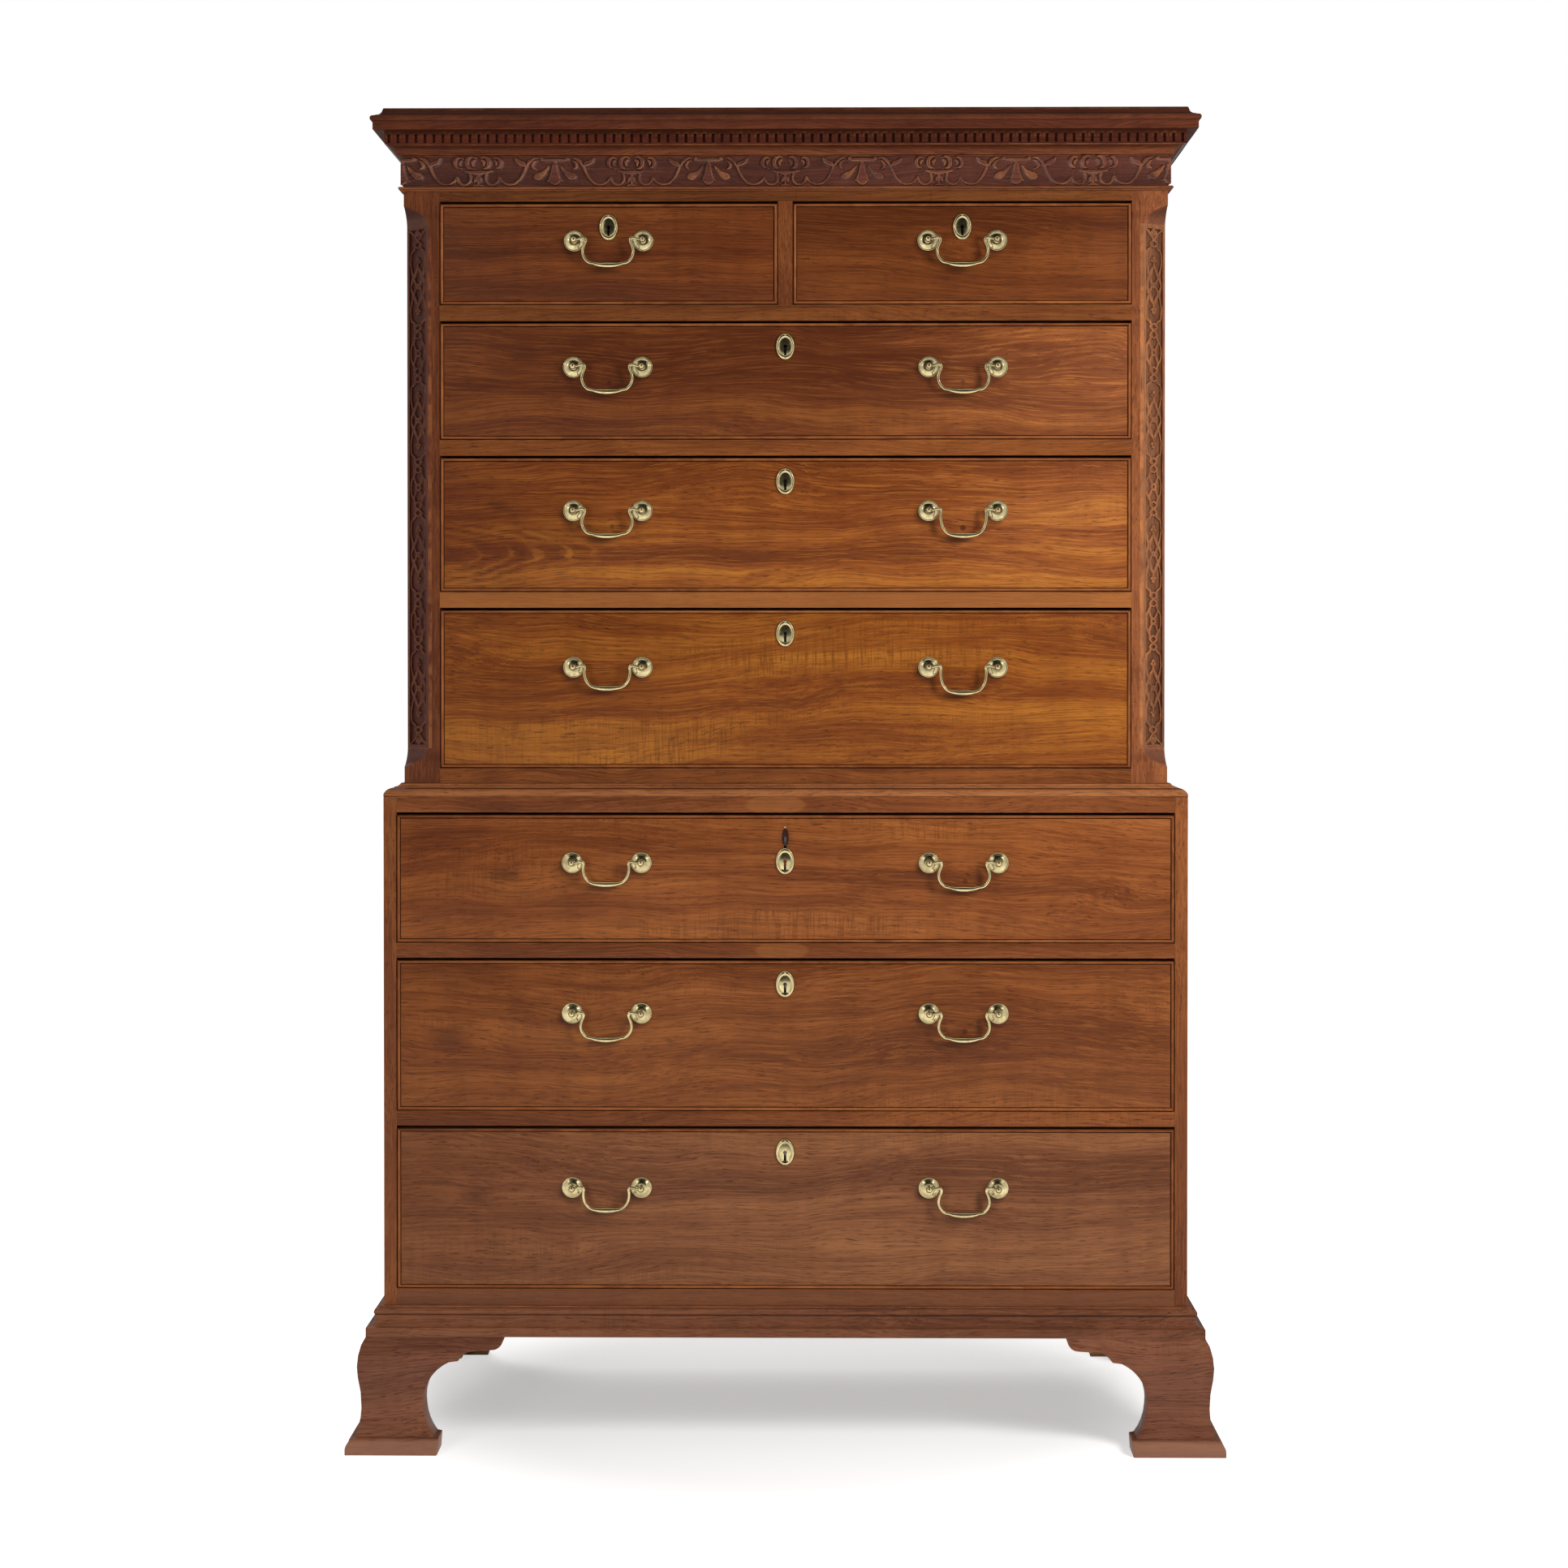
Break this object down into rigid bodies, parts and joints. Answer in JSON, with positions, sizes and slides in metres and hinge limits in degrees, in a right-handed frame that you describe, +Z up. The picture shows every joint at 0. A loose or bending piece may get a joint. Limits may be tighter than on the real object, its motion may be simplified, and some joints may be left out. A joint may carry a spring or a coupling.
{
  "type": "chest on chest",
  "caption": "Two-part mahogany chest on chest with sliding drawers, locks, swinging brass bail handles, canted fretwork corners, carved frieze, dentil cornice and ogee bracket feet.",
  "frame": {"origin": "floor, at the centre of the box that bounds the chest", "axes": "+Z up, drawers open towards -Y, back against the wall at +Y, +X to the right when facing the drawers"},
  "size_m": [1.214, 0.608, 1.8625],
  "materials": {
    "mahogany": "polished, warm red brown",
    "lining_wood": "bare, aged",
    "back_wood": "bare, aged",
    "brass": "polished, lightly tarnished",
    "iron": "dull"
  },
  "bodies": {
    "lower_case": {"lower_sides": "mahogany", "lower_rails": "mahogany", "lower_boards": "lining_wood", "lower_back": "back_wood", "waist_moulding": "mahogany", "base_moulding": "mahogany", "bracket_feet": "mahogany"},
    "upper_case": {"upper_sides": "mahogany", "corner_posts": "mahogany", "upper_rails": "mahogany", "upper_boards": "lining_wood", "upper_back": "back_wood", "frieze": "mahogany", "cornice": "mahogany"},
    "short_left_drawer": {"short_left_drawer_front": "mahogany", "short_left_drawer_box": "lining_wood", "short_left_drawer_fittings": "brass"},
    "short_left_lock_bolt": {"short_left_lock_bolt": "iron"},
    "short_left_bail": {"short_left_bail": "brass"},
    "short_right_drawer": {"short_right_drawer_front": "mahogany", "short_right_drawer_box": "lining_wood", "short_right_drawer_fittings": "brass"},
    "short_right_lock_bolt": {"short_right_lock_bolt": "iron"},
    "short_right_bail": {"short_right_bail": "brass"},
    "upper_2_drawer": {"upper_2_drawer_front": "mahogany", "upper_2_drawer_box": "lining_wood", "upper_2_drawer_fittings": "brass"},
    "upper_2_lock_bolt": {"upper_2_lock_bolt": "iron"},
    "upper_2_bail_left": {"upper_2_bail_left": "brass"},
    "upper_2_bail_right": {"upper_2_bail_right": "brass"},
    "upper_3_drawer": {"upper_3_drawer_front": "mahogany", "upper_3_drawer_box": "lining_wood", "upper_3_drawer_fittings": "brass"},
    "upper_3_lock_bolt": {"upper_3_lock_bolt": "iron"},
    "upper_3_bail_left": {"upper_3_bail_left": "brass"},
    "upper_3_bail_right": {"upper_3_bail_right": "brass"},
    "upper_4_drawer": {"upper_4_drawer_front": "mahogany", "upper_4_drawer_box": "lining_wood", "upper_4_drawer_fittings": "brass"},
    "upper_4_lock_bolt": {"upper_4_lock_bolt": "iron"},
    "upper_4_bail_left": {"upper_4_bail_left": "brass"},
    "upper_4_bail_right": {"upper_4_bail_right": "brass"},
    "lower_1_drawer": {"lower_1_drawer_front": "mahogany", "lower_1_drawer_box": "lining_wood", "lower_1_drawer_fittings": "brass"},
    "lower_1_lock_bolt": {"lower_1_lock_bolt": "iron"},
    "lower_1_bail_left": {"lower_1_bail_left": "brass"},
    "lower_1_bail_right": {"lower_1_bail_right": "brass"},
    "lower_2_drawer": {"lower_2_drawer_front": "mahogany", "lower_2_drawer_box": "lining_wood", "lower_2_drawer_fittings": "brass"},
    "lower_2_lock_bolt": {"lower_2_lock_bolt": "iron"},
    "lower_2_bail_left": {"lower_2_bail_left": "brass"},
    "lower_2_bail_right": {"lower_2_bail_right": "brass"},
    "lower_3_drawer": {"lower_3_drawer_front": "mahogany", "lower_3_drawer_box": "lining_wood", "lower_3_drawer_fittings": "brass"},
    "lower_3_lock_bolt": {"lower_3_lock_bolt": "iron"},
    "lower_3_bail_left": {"lower_3_bail_left": "brass"},
    "lower_3_bail_right": {"lower_3_bail_right": "brass"}
  },
  "joints": [
    {"name": "upper_case_lift", "type": "slide", "parent": "lower_case", "child": "upper_case", "axis": [0, 0, 1], "range_m": [0, 0.08]},
    {"name": "short_left_drawer_slide", "type": "slide", "parent": "upper_case", "child": "short_left_drawer", "axis": [0, -1, 0], "range_m": [0, 0.4]},
    {"name": "short_left_lock_throw", "type": "slide", "parent": "short_left_drawer", "child": "short_left_lock_bolt", "axis": [0, 0, 1], "range_m": [0, 0.006]},
    {"name": "short_left_bail_swing", "type": "hinge", "parent": "short_left_drawer", "child": "short_left_bail", "pos_m": [-0.24663, -0.245, 1.6814], "axis": [-1, 0, 0], "range_deg": [-15, 190]},
    {"name": "short_right_drawer_slide", "type": "slide", "parent": "upper_case", "child": "short_right_drawer", "axis": [0, -1, 0], "range_m": [0, 0.4]},
    {"name": "short_right_lock_throw", "type": "slide", "parent": "short_right_drawer", "child": "short_right_lock_bolt", "axis": [0, 0, 1], "range_m": [0, 0.006]},
    {"name": "short_right_bail_swing", "type": "hinge", "parent": "short_right_drawer", "child": "short_right_bail", "pos_m": [0.24663, -0.245, 1.6814], "axis": [-1, 0, 0], "range_deg": [-15, 190]},
    {"name": "upper_2_drawer_slide", "type": "slide", "parent": "upper_case", "child": "upper_2_drawer", "axis": [0, -1, 0], "range_m": [0, 0.4]},
    {"name": "upper_2_lock_throw", "type": "slide", "parent": "upper_2_drawer", "child": "upper_2_lock_bolt", "axis": [0, 0, 1], "range_m": [0, 0.006]},
    {"name": "upper_2_bail_left_swing", "type": "hinge", "parent": "upper_2_drawer", "child": "upper_2_bail_left", "pos_m": [-0.248, -0.245, 1.5054], "axis": [-1, 0, 0], "range_deg": [-15, 190]},
    {"name": "upper_2_bail_right_swing", "type": "hinge", "parent": "upper_2_drawer", "child": "upper_2_bail_right", "pos_m": [0.248, -0.245, 1.5054], "axis": [-1, 0, 0], "range_deg": [-15, 190]},
    {"name": "upper_3_drawer_slide", "type": "slide", "parent": "upper_case", "child": "upper_3_drawer", "axis": [0, -1, 0], "range_m": [0, 0.4]},
    {"name": "upper_3_lock_throw", "type": "slide", "parent": "upper_3_drawer", "child": "upper_3_lock_bolt", "axis": [0, 0, 1], "range_m": [0, 0.006]},
    {"name": "upper_3_bail_left_swing", "type": "hinge", "parent": "upper_3_drawer", "child": "upper_3_bail_left", "pos_m": [-0.248, -0.245, 1.3049], "axis": [-1, 0, 0], "range_deg": [-15, 190]},
    {"name": "upper_3_bail_right_swing", "type": "hinge", "parent": "upper_3_drawer", "child": "upper_3_bail_right", "pos_m": [0.248, -0.245, 1.3049], "axis": [-1, 0, 0], "range_deg": [-15, 190]},
    {"name": "upper_4_drawer_slide", "type": "slide", "parent": "upper_case", "child": "upper_4_drawer", "axis": [0, -1, 0], "range_m": [0, 0.4]},
    {"name": "upper_4_lock_throw", "type": "slide", "parent": "upper_4_drawer", "child": "upper_4_lock_bolt", "axis": [0, 0, 1], "range_m": [0, 0.006]},
    {"name": "upper_4_bail_left_swing", "type": "hinge", "parent": "upper_4_drawer", "child": "upper_4_bail_left", "pos_m": [-0.248, -0.245, 1.0864], "axis": [-1, 0, 0], "range_deg": [-15, 190]},
    {"name": "upper_4_bail_right_swing", "type": "hinge", "parent": "upper_4_drawer", "child": "upper_4_bail_right", "pos_m": [0.248, -0.245, 1.0864], "axis": [-1, 0, 0], "range_deg": [-15, 190]},
    {"name": "lower_1_drawer_slide", "type": "slide", "parent": "lower_case", "child": "lower_1_drawer", "axis": [0, -1, 0], "range_m": [0, 0.42]},
    {"name": "lower_1_lock_throw", "type": "slide", "parent": "lower_1_drawer", "child": "lower_1_lock_bolt", "axis": [0, 0, 1], "range_m": [0, 0.006]},
    {"name": "lower_1_bail_left_swing", "type": "hinge", "parent": "lower_1_drawer", "child": "lower_1_bail_left", "pos_m": [-0.248, -0.271, 0.8149], "axis": [-1, 0, 0], "range_deg": [-15, 190]},
    {"name": "lower_1_bail_right_swing", "type": "hinge", "parent": "lower_1_drawer", "child": "lower_1_bail_right", "pos_m": [0.248, -0.271, 0.8149], "axis": [-1, 0, 0], "range_deg": [-15, 190]},
    {"name": "lower_2_drawer_slide", "type": "slide", "parent": "lower_case", "child": "lower_2_drawer", "axis": [0, -1, 0], "range_m": [0, 0.42]},
    {"name": "lower_2_lock_throw", "type": "slide", "parent": "lower_2_drawer", "child": "lower_2_lock_bolt", "axis": [0, 0, 1], "range_m": [0, 0.006]},
    {"name": "lower_2_bail_left_swing", "type": "hinge", "parent": "lower_2_drawer", "child": "lower_2_bail_left", "pos_m": [-0.248, -0.271, 0.6054], "axis": [-1, 0, 0], "range_deg": [-15, 190]},
    {"name": "lower_2_bail_right_swing", "type": "hinge", "parent": "lower_2_drawer", "child": "lower_2_bail_right", "pos_m": [0.248, -0.271, 0.6054], "axis": [-1, 0, 0], "range_deg": [-15, 190]},
    {"name": "lower_3_drawer_slide", "type": "slide", "parent": "lower_case", "child": "lower_3_drawer", "axis": [0, -1, 0], "range_m": [0, 0.42]},
    {"name": "lower_3_lock_throw", "type": "slide", "parent": "lower_3_drawer", "child": "lower_3_lock_bolt", "axis": [0, 0, 1], "range_m": [0, 0.006]},
    {"name": "lower_3_bail_left_swing", "type": "hinge", "parent": "lower_3_drawer", "child": "lower_3_bail_left", "pos_m": [-0.248, -0.271, 0.3624], "axis": [-1, 0, 0], "range_deg": [-15, 190]},
    {"name": "lower_3_bail_right_swing", "type": "hinge", "parent": "lower_3_drawer", "child": "lower_3_bail_right", "pos_m": [0.248, -0.271, 0.3624], "axis": [-1, 0, 0], "range_deg": [-15, 190]}
  ]
}
